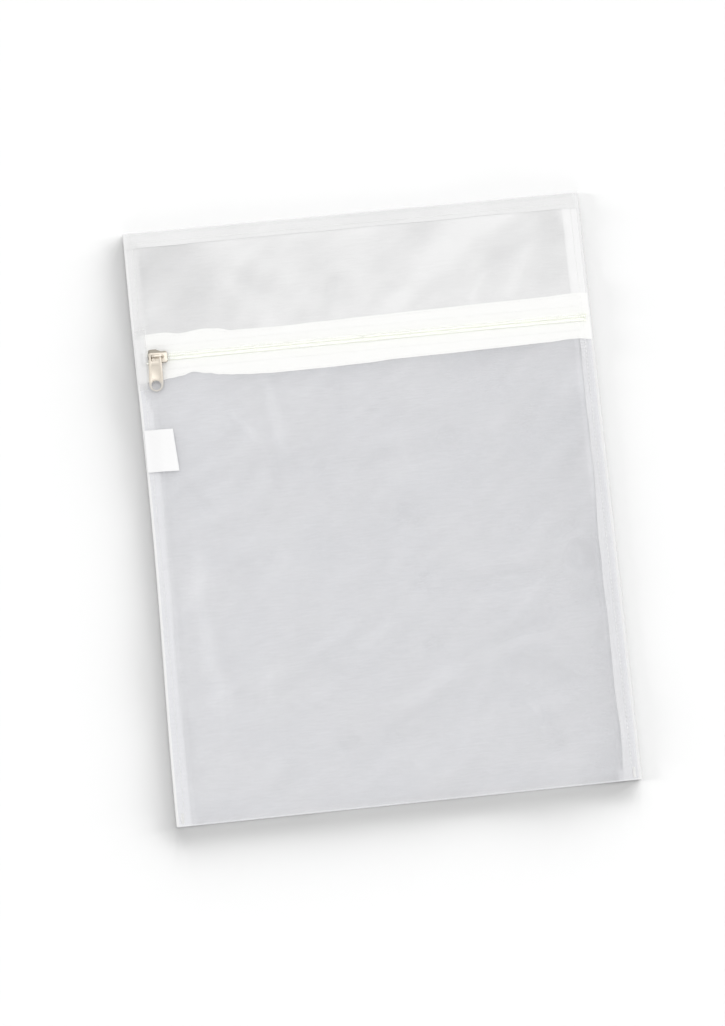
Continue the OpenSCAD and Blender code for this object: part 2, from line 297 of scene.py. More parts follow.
def front_closeness(at):
    """The bottom fold presses the threads together, and the seams lie double or more. Crease ridges are drawn
    denser, so paler, and crease hollows more open, so darker: painted light and shade.
    The corners of the upper panel are drawn more open, so darker: painted shade."""
    x, y, z = at
    turned_in = seam_width(math.copysign(1, x), y)
    fold = ease((-HALF_L + 1.5 - y) / 1.2) * 0.4 * ease((z - 0.25) / 0.4)
    foot = -0.45 * ease((-HALF_L + 6.0 - y) / 4.0) * ease((0.65 - z) / 0.4)
    off_floor = ease((z - 1.4) / 0.9)
    by_fold = off_floor * ease((-HALF_L + 30 - y) / 20) * ease((HALF_W - 14 - abs(x)) / 6)
    front = max(ease((z - 2.5) / 1.5), by_fold)
    # Painted shade: the net is drawn more open, so darker, at the upper corners
    corners = bump_at(x, y, (-150, 190), 34, 34) + 0.8 * bump_at(x, y, (150, 206), 12, 22)
    # The seams lie double. Below the zip the left seam is drawn far denser, so paler, than the right: painted
    # light on its slope, which turns from the key lamp
    layers = (0.22 if x < 0 else 0.03) if y < ZIP_Y else (0.02 if x < 0 else 0.2)
    seam = ease((turned_in + 1.0 - HALF_W + abs(x)) / 1.5) * layers
    if y < ZIP_Y:
        # Beside the seams the net is drawn denser, so paler: painted light over the shade the seams throw on
        # it. It pales again at the right, towards the rolled edge and in a patch of the lower panel
        beside = HALF_W - abs(x) - turned_in
        paler = 0.08 * math.exp(-(((beside - 2.2) / 2.0) ** 2))
        paler += 0.22 * ease((x - 120) / 55) * ease((y + 60) / 90)
        seam += paler * ease(beside / 1.2) * off_floor + 0.2 * ease((x - HALF_W + 4.4) / 2.2)
    # Below the zip the net is drawn more open, so darker, towards the right: painted shade. Above it, more
    # open in a patch at the upper left.
    slack_and_shade = 0.105 * (1 + x / HALF_W) if y < ZIP_Y else 0.1 * bump_at(x, y, (-125, 178), 50, 60)
    # Painted light and shade: crease ridges are drawn denser, so paler, and hollows more open, so darker
    folds = (0.12 if y < ZIP_Y else 0.085) * crease_height(x, y) + 0.04 * rumple(x, y)
    return fold + foot + seam + front * (folds - 0.09 * corners - slack_and_shade)


def roll_closeness(at):
    """The rolled edge of a seam holds several thicknesses of net. It is drawn denser, so paler, on the left
    and above the zip: painted light on the roll's outer side, which turns from the light there.
    """
    if at.y > HALF_L - TOP_SEAM - 2 and abs(at.x) < HALF_W - 4:
        return -0.01
    return (0.1 if at.x < 0 or at.y > ZIP_Y else 0.05) * ease((3.2 - edge_gap(at.x, at.y)) / 1.5)


def edge_gap(x, y):
    """Distance from the nearest sewn edge: left, right or top."""
    return min(x - edge_x(-1, y), edge_x(1, y) - x, HALF_L - y)


def front_z(x, y):
    """Height of the front cloth, which falls to thin edges at the seams and at the bottom fold."""
    gap = edge_gap(x, y)
    run = mix(EDGE_RUN_AT_ZIP, EDGE_RUN, ease((abs(y - ZIP_Y) - TAPE_OUT - 2) / 20))
    full = mix(EDGE_Z, FRONT_Z + loose(x, y) * ease(gap / 26), ease((gap - 0.6) / run))
    return mix(min(full, FOLD_Z), full, ease((y + HALF_L - FOLD_DEPTH) / FOLD_RUN))


def back_z(x, y):
    rise = ease((edge_gap(x, y) - 0.6) / 4.0)
    return mix(0.9, BACK_Z, rise)


# The cloth

def body_cloth():
    """One cut of net: the back, the fold at the bottom and the front up to the zip."""
    fold_y = -HALF_L + FOLD_DEPTH
    top_y = HALF_L - 1.6
    back_l = top_y - fold_y
    fold_l = math.pi * FOLD_DEPTH
    front_top = ZIP_Y - MESH_EDGE
    whole = back_l + fold_l + front_top - fold_y
    back_rows, fold_rows, front_rows = 100, 14, 200
    rows = back_rows + fold_rows + front_rows

    def place(a, b):
        row = round(b * rows)
        if row <= back_rows:
            s = back_l * row / back_rows
        elif row <= back_rows + fold_rows:
            s = back_l + fold_l * (row - back_rows) / fold_rows
        else:
            s = back_l + fold_l + (front_top - fold_y) * (row - back_rows - fold_rows) / front_rows
        if s < back_l:
            y = top_y - s
        elif s < back_l + fold_l:
            y = fold_y
        else:
            y = fold_y + s - back_l - fold_l
        x = mix(edge_x(-1, y) + TUCK, edge_x(1, y) - TUCK, a)
        if s < back_l:
            z = back_z(x, y)
        elif s < back_l + fold_l:
            turn = math.pi * (s - back_l) / fold_l
            z = mix(back_z(x, y), front_z(x, y), (1 - math.cos(turn)) / 2)
            y = fold_y - FOLD_DEPTH * math.sin(turn)
        else:
            z = front_z(x, y)
        return Vector((x, y, z)), (x, s)

    return sheet_grid(CELLS_ACROSS, rows, place, front_closeness), (2 * HALF_W, whole)


def upper_cloth():
    """The cut of net between the zip and the top seam."""
    low = ZIP_Y + MESH_EDGE

    def place(a, b):
        y = mix(low, HINGE_Y, b)
        x = mix(edge_x(-1, y) + TUCK, edge_x(1, y) - TUCK, a)
        return Vector((x, y, front_z(x, y))), (x, y)

    return sheet_grid(CELLS_ACROSS, 48, place, front_closeness), (HALF_W, HINGE_Y - low)


def seam_strip(width, under):
    """Points across a seam, from its inner edge on the front, round the roll, to its inner edge on the back.
    A point is its distance from the edge, its height above the floor or None, and else how far it lies from
    the front or the back. Also each point's place across the flat cut, and how many lie along the front."""
    roll = [
        (ROLL_R * (1 - math.cos(a)), ROLL_R * (1 + math.sin(a)))
        for a in [math.radians(d) for d in range(120, -121, -24)]
    ]
    front = [(width * t, None, -under) for t in (1.0, 0.98, 0.85, 0.7, 0.55, 0.42, 0.32)]
    back = [(width * t, None, 0.35) for t in (0.32, 0.45, 0.6, 0.75, 0.88)]
    section = front + [(d, z, 0) for d, z in roll] + back
    level = [FRONT_Z] * len(front) + [z for d, z in roll] + [BACK_Z] * len(back)
    cut = [0.0]
    for i in range(1, len(section)):
        cut.append(cut[-1] + math.hypot(section[i][0] - section[i - 1][0], level[i] - level[i - 1]))
    return section, cut, len(front)


def side_seam(side):
    """The turned-in cloth of a side seam, with the rolled edge that shows as a bright line."""
    section, cut, turn = seam_strip(SIDE_SEAM, 0.45)
    steps = len(section) - 1

    def place(a, b):
        i = round(a * steps)
        gap, height, off = section[i]
        y = mix(-HALF_L + 0.3, HALF_L - 0.4, b)
        if i < turn:
            narrow = section[turn - 1][0]
            gap = mix(narrow, seam_width(side, y), (gap - narrow) / (SIDE_SEAM - narrow))
        wander = noise.noise(Vector((y / 22, 5 + side, 0.4))) * 0.5 * gap / SIDE_SEAM
        x = edge_x(side, y) - side * (gap + wander)
        pucker = 0.06 * noise.noise(Vector((y / 3.5, side, 2.2)))
        if height is None and i < turn:
            z = mix(front_z(x, y) + off, ROLL_R * 2, ease((-HALF_L + FOLD_DEPTH + 0.6 - y) / FOLD_DEPTH))
        elif height is None:
            z = back_z(x, y) + off
        else:
            z = height * (1 + pucker)
            x += side * pucker * 0.6
        return Vector((x, y, max(z, 0.05))), (cut[i], y)

    bm = sheet_grid(steps, 220, place, roll_closeness)
    if side > 0:
        bmesh.ops.reverse_faces(bm, faces=bm.faces)
    return bm, (cut[-1] + SEAM_MORE, 2 * HALF_L)


def top_seam():
    """The top hem, folded over the upper panel and rolled at its edge."""
    section, cut, turn = seam_strip(TOP_SEAM + 1.4, -0.3)
    steps = len(section) - 1

    def place(a, b):
        i = round(b * steps)
        gap, height, off = section[i]
        x = mix(-HALF_W + 0.8, HALF_W - 0.8, a)
        wander = noise.noise(Vector((x / 26, 9.5, 0.4))) * 0.5 * gap / TOP_SEAM
        y = HALF_L - gap - wander
        pucker = 0.06 * noise.noise(Vector((x / 3.5, 4.0, 2.2)))
        if height is None:
            z = front_z(x, y) + off if i < turn else back_z(x, y) + off
        else:
            z = height * (1 + pucker) * mix(0.6, 1.0, ease((HALF_W - abs(x)) / 4))
            y -= pucker * 0.6
        return Vector((x, y, max(z, 0.05))), (x, cut[i])

    return sheet_grid(180, steps, place, roll_closeness), (2 * HALF_W, cut[-1])


# The zip

def tape_z(x, y):
    """Height of the middle of a tape: flat, but following the cloth down at its sewn ends."""
    return TAPE_Z + TAPE_T / 2 + min(0.0, front_z(x, y) - FRONT_Z)


def on_tape(x, y):
    return tape_z(x, y) + TAPE_T / 2


# Distance of each tape's outer edge from the zip, at points along it: the cloth is eased on to it unevenly
LOWER_EDGE = [
    (-171, 18.3), (-158, 17.6), (-148, 16.4), (-140, 15.4), (-131, 13.2), (-120, 15.1), (-110, 17.1),
    (-100, 18.1), (-85, 19.1), (-70, 19.7), (-30, 19.5), (0, 19.0), (25, 17.9), (60, 17.7),
    (100, 17.1), (140, 16.5), (158, 15.6), (175, 16.6),
]
UPPER_EDGE = [
    (-171, 18.2), (-150, 18.7), (-139, 17.2), (-120, 19.0), (-110, 18.2), (-99, 15.8), (-60, 15.4),
    (-30, 16.0), (10, 16.7), (50, 17.4), (100, 18.0), (140, 18.4), (160, 19.2), (175, 19.2),
]


def along_edge(table, x):
    for (x0, d0), (x1, d1) in zip(table, table[1:]):
        if x <= x1:
            return mix(d0, d1, ease((x - x0) / (x1 - x0)))
    return table[-1][1]


def tape(side):
    """One woven zip tape. Its outer edge runs a little uneven, where the cloth is eased on to it."""
    left, right = (-TAPE_END, TAPE_RIGHT) if side < 0 else (-FLAP_END, FLAP_END)

    def place(a, b):
        x = mix(left, right, a)
        outer = along_edge(LOWER_EDGE if side < 0 else UPPER_EDGE, x)
        # Beyond the end of the chain the lower tape closes the gap between the two
        closed = ease((x - COIL_START - (COIL_TURNS - 1) * COIL_PITCH) / 0.9)
        inner = TAPE_IN if side > 0 else mix(TAPE_IN, -TAPE_IN + 0.1, closed)
        v = mix(inner, outer, b)
        wave = 0.16 * noise.noise(Vector((x / 18, side * 3.0 + v / 14, 6.0))) * b
        y = ZIP_Y + side * v
        return Vector((x, y, tape_z(x, y) + wave)), (x, v)

    bm = sheet_grid(346, 10, place)
    if side < 0:
        bmesh.ops.reverse_faces(bm, faces=bm.faces)
    return bm, (right - left, TAPE_OUT - TAPE_IN)


def tape_end(side):
    """The end of the upper tape that stays sewn on a side seam."""

    def place(a, b):
        x = side * mix(FLAP_END, TAPE_END if side < 0 else TAPE_RIGHT, a)
        v = mix(TAPE_IN, along_edge(UPPER_EDGE, x), b)
        return Vector((x, ZIP_Y + v, tape_z(x, ZIP_Y + v))), (x, v)

    bm = sheet_grid(6, 10, place)
    bmesh.ops.recalc_face_normals(bm, faces=bm.faces)
    return bm


def tape_cover():
    """The turned edge of the net that laps the left ends of both tapes."""
    low, high = ZIP_Y - TAPE_OUT - 6.0, ZIP_Y + TAPE_OUT + 5.0

    def place(a, b):
        y = mix(low, high, b)
        wander = 1.2 * noise.noise(Vector((y / 14, 2.0, 8.0)))
        chain = ease((6.0 - abs(y - ZIP_Y)) / 3.0)
        inner = mix(-164.4 + 0.6 * wander - 1.2 * ease((ZIP_Y - 4 - y) / 10), -163.6, chain)
        x = mix(edge_x(-1, y) + 1.4, inner, a)
        at_end = ease(min(b, 1 - b) / 0.12)
        z = mix(front_z(x, y) + 0.12, on_tape(x, y) + 0.2, at_end)
        return Vector((x, y, z + 2.6 * chain * ease((x + 170) / 3.5))), (x, y)

    def thin_edges(at):
        ends = 1 - ease(min(at.y - low, high - at.y) / 9.0)
        inner = 1 - ease((-163.9 - at.x) / 3.0)
        return 0.1 - 0.55 * ends - 0.35 * inner

    return sheet_grid(12, 40, place, thin_edges), (10.2, high - low)


def sewn_down(x):
    """How far the chain follows its tapes down at the right, where they are sewn into the seam."""
    return min(0.0, front_z(x, ZIP_Y) - FRONT_Z) if x > CHAIN_FLAT else 0.0


def parted(x):
    return PART_REACH * ease((PART_HALF - (x - SLIDER_X)) / (2 * PART_HALF))


def tube(name, points, radius):
    """A bmesh tube along points, from a bevelled curve."""
    curve = bpy.data.curves.new(name, "CURVE")
    curve.dimensions = "3D"
    curve.bevel_depth = radius
    curve.bevel_resolution = 1
    curve.use_fill_caps = True
    spline = curve.splines.new("POLY")
    spline.points.add(len(points) - 1)
    for p, co in zip(spline.points, points):
        p.co = (*co, 1.0)
    holder = bpy.data.objects.new(name, curve)
    bpy.context.scene.collection.objects.link(holder)
    bpy.context.view_layer.update()
    mesh = bpy.data.meshes.new_from_object(holder.evaluated_get(bpy.context.evaluated_depsgraph_get()))
    bm = bmesh.new()
    bm.from_mesh(mesh)
    bmesh.ops.remove_doubles(bm, verts=bm.verts, dist=1e-5)
    bmesh.ops.recalc_face_normals(bm, faces=bm.faces)
    bpy.data.objects.remove(holder)
    bpy.data.curves.remove(curve)
    bpy.data.meshes.remove(mesh)
    return bm


def coil_points(side, first, last):
    """One filament wound in turns: along the tape, round the head and back over the cord."""
    r = FILAMENT / 2
    back = COIL_BACK - 0.75
    bend = COIL_H / 2 - r
    head = COIL_H / 2 - HEAD_REACH
    turn = [(back, r, 0.0), (head, r, 0.06)]
    for k in range(1, 6):
        a = math.radians(-90 + 30 * k)
        turn.append((head - bend * math.cos(a), COIL_H / 2 + bend * math.sin(a), 0.06 + 0.03 * k))
    turn += [(head, COIL_H - r, 0.24), (back, COIL_H - r, 0.36)]
    for k in range(1, 4):
        a = math.radians(90 - 45 * k)
        turn.append((back + 0.4 * math.cos(a), COIL_H / 2 + bend * math.sin(a), 0.36 + 0.16 * k))
    points = []
    for i in range(first, last):
        for v, z, on in turn:
            x = COIL_START + (i + (0.5 if side > 0 else 0.0) + on - 0.15) * COIL_PITCH
            points.append((x, ZIP_Y + side * (v + parted(x)), COIL_Z + z + sewn_down(x)))
    return points


def coil(side, first, last):
    return tube("coil", coil_points(side, first, last), FILAMENT / 2)


def core(side, low, high):
    """The cord that fills the inside of a coil and swells up between its turns."""
    y = ZIP_Y + side * (COIL_BACK - HEAD_REACH) / 2
    steps = int((high - low) / 4)
    z = COIL_Z + COIL_H / 2
    bm = tube("core", [(mix(low, high, i / steps), y, z) for i in range(steps + 1)], 1.0)
    # Squeezed by the turns, its section is nearer to a square than to a circle
    for v in bm.verts:
        out, up = v.co.y - y, v.co.z - z
        v.co.y = y + math.copysign(math.sqrt(abs(out)), out) * CORE_W / 2
        v.co.z = z + math.copysign(math.sqrt(abs(up)), up) * CORE_H / 2 + sewn_down(v.co.x)
    return bm


# Sewing

def thread_pass(bm, at, lean, long, thick, high):
    """One pass of thread over the cloth, a slim grain."""
    turned = Matrix.Translation(at) @ Matrix.Rotation(lean, 4, "Z")
    lying = turned @ Matrix.Diagonal((long / 2, thick, high, 1)) @ Matrix.Rotation(math.pi / 2, 4, "Y")
    bmesh.ops.create_uvsphere(bm, u_segments=6, v_segments=4, radius=1.0, matrix=lying)


def stitches(rows, long=2.5, gap=0.8, thick=0.26, high=0.26):
    """Rows of thread stitches. A row is its two ends and a rule for the height of the cloth under it."""
    bm = bmesh.new()
    for start, end, height in rows:
        start, end = Vector(start), Vector(end)
        run = end - start
        count = int(run.length / (long + gap))
        lean = math.atan2(run.y, run.x) + math.radians(4)
        for i in range(count):
            at = start + run * ((i + 0.5) / count)
            at = Vector((at.x, at.y, height(at.x, at.y) + high * 0.25))
            thread_pass(bm, at, lean, long, thick, high)
    return bm


def bar_tack(side):
    """Dense block of threads that locks the lower end of a side seam."""
    bm = bmesh.new()
    for i in range(TACK_PASSES):
        y = TACK_LOW + TACK_L * i / (TACK_PASSES - 1)
        x = edge_x(side, y) - side * TACK_IN
        thread_pass(bm, (x, y, front_z(x, y) + 0.08), 0.0, 2.5, 0.3, 0.24)
    return bm


def on_coil(x, y):
    return COIL_Z + COIL_H + sewn_down(x)


def on_foot(x, y):
    return COIL_Z + 0.35 + sewn_down(x)


def on_hem(x, y):
    return front_z(x, y) + 0.35


def tape_rows(side, low, high):
    """Two rows of stitches along a tape: one follows its outer edge, one runs straight beside the chain."""
    spans = 13
    xs = [mix(low, high, i / spans) for i in range(spans + 1)]
    table = LOWER_EDGE if side < 0 else UPPER_EDGE
    edge = [(x, ZIP_Y + side * (along_edge(table, x) - TAPE_ROW), 0) for x in xs]
    y = ZIP_Y + side * (MESH_EDGE + TAPE_ROW)
    return [(a, b, on_tape) for a, b in zip(edge, edge[1:])] + [((low, y, 0), (high, y, 0), on_tape)]


def coil_rows(side, low, high):
    """Threads over each coil and along its foot. Where the coil is parted they go with it."""
    joined = SLIDER_X + PART_HALF
    over, foot = COIL_BACK - FILAMENT, COIL_BACK + 0.2
    low_end = max(low, joined)
    rows = [
        ((low_end, ZIP_Y + side * over, 0), (high, ZIP_Y + side * over, 0), on_coil),
        ((low_end, ZIP_Y + side * foot, 0), (high, ZIP_Y + side * foot, 0), on_foot),
    ]
    if low < joined:
        y = ZIP_Y + side * (over + PART_REACH)
        rows.append(((low, y, 0), (SLIDER_X - PART_HALF, y, 0), on_coil))
    return rows


# Metal, label

def rounded_copy(node, name, material, round_by):
    """The node's own shape with its edges rounded off, as tumbling leaves a die-cast piece."""
    bm = bmesh.new()
    bm.from_mesh(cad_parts[node].data)
    bmesh.ops.scale(bm, vec=(1 / MM, 1 / MM, 1 / MM), verts=bm.verts)
    bmesh.ops.remove_doubles(bm, verts=bm.verts, dist=1e-3)
    bmesh.ops.dissolve_limit(bm, angle_limit=math.radians(1), verts=bm.verts, edges=bm.edges)
    sharp = [e for e in bm.edges if len(e.link_faces) == 2 and e.calc_face_angle(0) > SHARP]
    bmesh.ops.bevel(
        bm, geom=sharp, offset=round_by, offset_type="OFFSET", segments=2, profile=0.5,
        affect="EDGES", clamp_overlap=True, material=-1,
    )
    return finish_piece(name, bm, material)


def label_cloth():
    """The blank label, sewn in at the left and lifting a little at its free edge."""

    def place(a, b):
        v = LABEL_W * (b - 0.5)
        u = LABEL_L * a * (1 - 0.045 * v / (LABEL_W / 2))
        lift = 0.9 * ease((a - 0.45) / 0.55) * (0.6 + 0.4 * b) + 0.12 * math.sin(v / 5.0) * a
        skew = -0.04 * u
        dip = 3.0 * (1 - ease(u / 14.0))
        return Vector((LABEL_X + u, LABEL_Y + v + skew, LABEL_Z + lift - dip)), (u, v)

    return sheet_grid(24, 28, place), (LABEL_L, LABEL_W)


# Materials

def colour(code):
    """Linear colour of an sRGB hex value."""
    parts = [int(code[i:i + 2], 16) / 255 for i in (1, 3, 5)]
    return [c / 12.92 if c <= 0.04045 else ((c + 0.055) / 1.055) ** 2.4 for c in parts] + [1.0]


def add(tree, kind, inputs=(), **settings):
    """Adds a node with its settings, and sets or links its inputs."""
    made = tree.nodes.new(kind)
    for name, value in settings.items():
        setattr(made, name, value)
    for name, value in dict(inputs).items():
        if isinstance(value, bpy.types.NodeSocket):
            tree.links.new(value, made.inputs[name])
        else:
            made.inputs[name].default_value = value
    return made


def new_material(name):
    material = bpy.data.materials.new(name)
    material.use_nodes = True
    tree = material.node_tree
    tree.nodes.clear()
    return material, tree


# A wave's bands repeat every pi / 10 over its scale
WAVE = math.pi / 10
NET_PITCH = 0.56


def net(name, thread_hex, shade_hex, hole, thread, streak):
    """Polyester net, knitted and heat set: clear holes between white threads show what lies behind.
    The real mesh is about 0.4 mm; it is drawn at 0.56 mm, the finest that a close view can show."""
    material, tree = new_material(name)
    cut = add(tree, "ShaderNodeUVMap", uv_map="cut").outputs["UV"]
    across, along = [
        add(
            tree, "ShaderNodeTexWave",
            {"Vector": cut, "Scale": WAVE / NET_PITCH, "Distortion": 0.4, "Detail Scale": 0.1},
            bands_direction=way,
        ).outputs["Fac"]
        for way in ("X", "Y")
    ]
    threads = add(tree, "ShaderNodeMath", {0: across, 1: along}, operation="MAXIMUM").outputs[0]
    cover = add(
        tree, "ShaderNodeMapRange",
        {"Value": threads, "From Min": 0.45, "From Max": 0.75, "To Min": hole, "To Max": thread},
    ).outputs[0]
    # Where the front and the back net cross, their threads beat in short wavy lines about 1.4 mm apart
    drawn = add(
        tree, "ShaderNodeMapping",
        {"Vector": cut, "Rotation": (0, 0, math.radians(-7)), "Scale": (0.09, 0.72, 1)},
    ).outputs[0]
    moire = add(
        tree, "ShaderNodeTexNoise", {"Vector": drawn, "Scale": 1.0, "Detail": 2.0, "Distortion": 0.9},
    ).outputs["Fac"]
    patches = add(tree, "ShaderNodeTexNoise", {"Vector": cut, "Scale": 0.018, "Detail": 2.0}).outputs["Fac"]
    beat, cloud = [
        add(
            tree, "ShaderNodeMapRange",
            {"Value": value, "From Min": 0.3, "From Max": 0.7, "To Min": -reach, "To Max": reach},
        ).outputs[0]
        for value, reach in ((moire, streak), (patches, 0.05))
    ]
    close = add(tree, "ShaderNodeAttribute", attribute_name="close").outputs["Fac"]
    uneven = add(tree, "ShaderNodeMath", {0: beat, 1: cloud}, operation="ADD").outputs[0]
    uneven = add(tree, "ShaderNodeMath", {0: uneven, 1: close}, operation="ADD").outputs[0]
    alpha = add(tree, "ShaderNodeMath", {0: cover, 1: uneven}, operation="ADD", use_clamp=True).outputs[0]
    tint = add(
        tree, "ShaderNodeMix", {0: patches, 6: colour(thread_hex), 7: colour(shade_hex)}, data_type="RGBA",
    ).outputs[2]
    relief = add(tree, "ShaderNodeBump", {"Height": threads, "Strength": 0.25, "Distance": 0.0002}).outputs[0]
    shader = add(
        tree, "ShaderNodeBsdfPrincipled",
        {"Base Color": tint, "Roughness": 0.62, "Sheen Weight": 0.15, "Alpha": alpha, "Normal": relief},
    )
    add(tree, "ShaderNodeOutputMaterial", {"Surface": shader.outputs[0]})
    return material


def woven_tape():
    """Polyester zip tape, woven in twill: matt white, with slanting ribs 0.6 mm apart, drawn at 1.2 mm."""
    material, tree = new_material("polyester_tape_woven")
    cut = add(tree, "ShaderNodeUVMap", uv_map="cut").outputs["UV"]
    turned = add(tree, "ShaderNodeMapping", {"Vector": cut, "Rotation": (0, 0, math.radians(52))}).outputs[0]
    twill = add(
        tree, "ShaderNodeTexWave",
        {"Vector": turned, "Scale": WAVE / 1.2, "Distortion": 0.6, "Detail Scale": 0.4}, bands_direction="X",
    ).outputs["Fac"]
    warp = add(
        tree, "ShaderNodeTexWave",
        {"Vector": cut, "Scale": WAVE / 2.4, "Distortion": 0.3}, bands_direction="Y",
    ).outputs["Fac"]
    ribs = add(tree, "ShaderNodeMath", {0: twill, 1: warp}, operation="ADD").outputs[0]
    soil = add(tree, "ShaderNodeTexNoise", {"Vector": cut, "Scale": 0.05, "Detail": 3.0}).outputs["Fac"]
    tint = add(
        tree, "ShaderNodeMix", {0: soil, 6: colour("#FDFDFC"), 7: colour("#F9F9F7")}, data_type="RGBA",
    ).outputs[2]
    relief = add(tree, "ShaderNodeBump", {"Height": ribs, "Strength": 0.3, "Distance": 0.0002}).outputs[0]
    shader = add(
        tree, "ShaderNodeBsdfPrincipled",
        {"Base Color": tint, "Roughness": 0.7, "Sheen Weight": 0.1, "Normal": relief},
    )
    add(tree, "ShaderNodeOutputMaterial", {"Surface": shader.outputs[0]})
    return material


def nylon_filament():
    """Nylon monofilament, drawn and heat set into a coil: milky, slightly green, with a soft gloss."""
    material, tree = new_material("nylon_monofilament_heat_set")
    at = add(tree, "ShaderNodeTexCoord").outputs["Object"]
    batch = add(tree, "ShaderNodeTexNoise", {"Vector": at, "Scale": 40.0, "Detail": 2.0}).outputs["Fac"]
    tint = add(
        tree, "ShaderNodeMix", {0: batch, 6: colour("#F2F6E5"), 7: colour("#ECF1DB")}, data_type="RGBA",
    ).outputs[2]
    shine = add(tree, "ShaderNodeMapRange", {"Value": batch, "To Min": 0.25, "To Max": 0.4}).outputs[0]
    shader = add(
        tree, "ShaderNodeBsdfPrincipled",
        {"Base Color": tint, "Roughness": shine, "IOR": 1.53, "Subsurface Weight": 1.0,
         "Subsurface Radius": (1, 1, 1), "Subsurface Scale": 0.0014},
    )
    add(tree, "ShaderNodeOutputMaterial", {"Surface": shader.outputs[0]})
    return material


def sewing_thread():
    """Spun polyester thread, plied: white, matt, with a twist about 0.5 mm long."""
    material, tree = new_material("polyester_thread_plied")
    at = add(tree, "ShaderNodeTexCoord").outputs["Object"]
    turned = add(
        tree, "ShaderNodeMapping",
        {"Vector": at, "Rotation": (0, 0, math.radians(40)), "Scale": (1 / MM, 1 / MM, 1 / MM)},
    ).outputs[0]
    twist = add(
        tree, "ShaderNodeTexWave", {"Vector": turned, "Scale": WAVE / 0.5, "Distortion": 0.8},
    ).outputs["Fac"]
    tint = add(
        tree, "ShaderNodeMix", {0: twist, 6: colour("#F8F8F6"), 7: colour("#FEFEFD")}, data_type="RGBA",
    ).outputs[2]
    relief = add(tree, "ShaderNodeBump", {"Height": twist, "Strength": 0.4, "Distance": 0.0001}).outputs[0]
    shader = add(
        tree, "ShaderNodeBsdfPrincipled",
        {"Base Color": tint, "Roughness": 0.75, "Sheen Weight": 0.2, "Normal": relief,
         "Subsurface Weight": 0.6, "Subsurface Radius": (1, 1, 1), "Subsurface Scale": 0.0009},
    )
    add(tree, "ShaderNodeOutputMaterial", {"Surface": shader.outputs[0]})
    return material


def nickel_plate():
    """Die-cast zinc, tumbled and nickel plated: warm grey metal, finely scratched and dull in patches, with
    painted shade in its recesses and on its side towards the top edge.
    """
    material, tree = new_material("zinc_die_cast_nickel_plated")
    at = add(tree, "ShaderNodeTexCoord").outputs["Object"]
    y = add(tree, "ShaderNodeSeparateXYZ", {0: at}).outputs["Y"]
    scuffs = add(
        tree, "ShaderNodeTexNoise", {"Vector": at, "Scale": 900.0, "Detail": 4.0, "Roughness": 0.7},
    ).outputs["Fac"]
    long = add(tree, "ShaderNodeMapping", {"Vector": at, "Scale": (4000, 500, 1500)}).outputs[0]
    brush = add(tree, "ShaderNodeTexNoise", {"Vector": long, "Scale": 1.0, "Detail": 3.0}).outputs["Fac"]
    tint = add(
        tree, "ShaderNodeMix", {0: scuffs, 6: colour("#E3DBD0"), 7: colour("#D0C7B9")}, data_type="RGBA",
    ).outputs[2]
    # Painted shade: the metal is darkened in its recesses, by ambient occlusion, and on its side towards the
    # top edge of the bag
    ao_openness = add(tree, "ShaderNodeAmbientOcclusion", {"Distance": 0.0014}, samples=8).outputs["AO"]
    unshaded = add(
        tree, "ShaderNodeMapRange", {"Value": ao_openness, "From Min": 0.35, "From Max": 0.85},
    ).outputs[0]
    # Painted shade on the side towards the top edge: darker past 3.5 mm from the middle of the zip
    lit_below_top_side = add(
        tree, "ShaderNodeMapRange",
        {"Value": y, "From Min": (ZIP_Y + 3.5) * MM, "From Max": (ZIP_Y + 2.3) * MM,
         "To Min": 0.3, "To Max": 1.0},
    ).outputs[0]
    unshaded = add(tree, "ShaderNodeMath", {0: unshaded, 1: lit_below_top_side}, operation="MULTIPLY").outputs[0]
    # The dark colour of the painted shade, mixed in where the masks above are low
    shaded_tint = add(tree, "ShaderNodeMix", {0: unshaded, 6: colour("#57544C"), 7: tint}, data_type="RGBA").outputs[2]
    # Fingers have dulled the tip of the puller to a plainer grey
    tip = add(
        tree, "ShaderNodeMapRange",
        {"Value": y, "From Min": (ZIP_Y - 17.5) * MM, "From Max": (ZIP_Y - 21.0) * MM,
         "To Min": 0.0, "To Max": 0.7},
    ).outputs[0]
    handled = add(tree, "ShaderNodeMix", {0: tip, 6: shaded_tint, 7: colour("#C9C7C3")}, data_type="RGBA").outputs[2]
    dull = add(
        tree, "ShaderNodeMapRange",
        {"Value": scuffs, "From Min": 0.3, "From Max": 0.7, "To Min": 0.24, "To Max": 0.42},
    ).outputs[0]
    relief = add(tree, "ShaderNodeBump", {"Height": brush, "Strength": 0.08, "Distance": 0.00005}).outputs[0]
    shader = add(
        tree, "ShaderNodeBsdfPrincipled",
        {"Base Color": handled, "Metallic": 1.0, "Roughness": dull, "Normal": relief},
    )
    add(tree, "ShaderNodeOutputMaterial", {"Surface": shader.outputs[0]})
    return material


def satin_ribbon():
    """Polyester satin ribbon, woven and cut hot: smooth white with faint floats along its length."""
    material, tree = new_material("polyester_satin_ribbon")
    cut = add(tree, "ShaderNodeUVMap", uv_map="cut").outputs["UV"]
    floats = add(
        tree, "ShaderNodeTexWave",
        {"Vector": cut, "Scale": WAVE / 0.9, "Distortion": 1.2, "Detail Scale": 0.5}, bands_direction="Y",
    ).outputs["Fac"]
    tint = add(
        tree, "ShaderNodeMix", {0: floats, 6: colour("#FCFCFC"), 7: colour("#F6F6F6")}, data_type="RGBA",
    ).outputs[2]
    relief = add(tree, "ShaderNodeBump", {"Height": floats, "Strength": 0.15, "Distance": 0.0001}).outputs[0]
    shader = add(
        tree, "ShaderNodeBsdfPrincipled",
        {"Base Color": tint, "Roughness": 0.42, "Sheen Weight": 0.2, "Normal": relief},
    )
    add(tree, "ShaderNodeOutputMaterial", {"Surface": shader.outputs[0]})
    return material


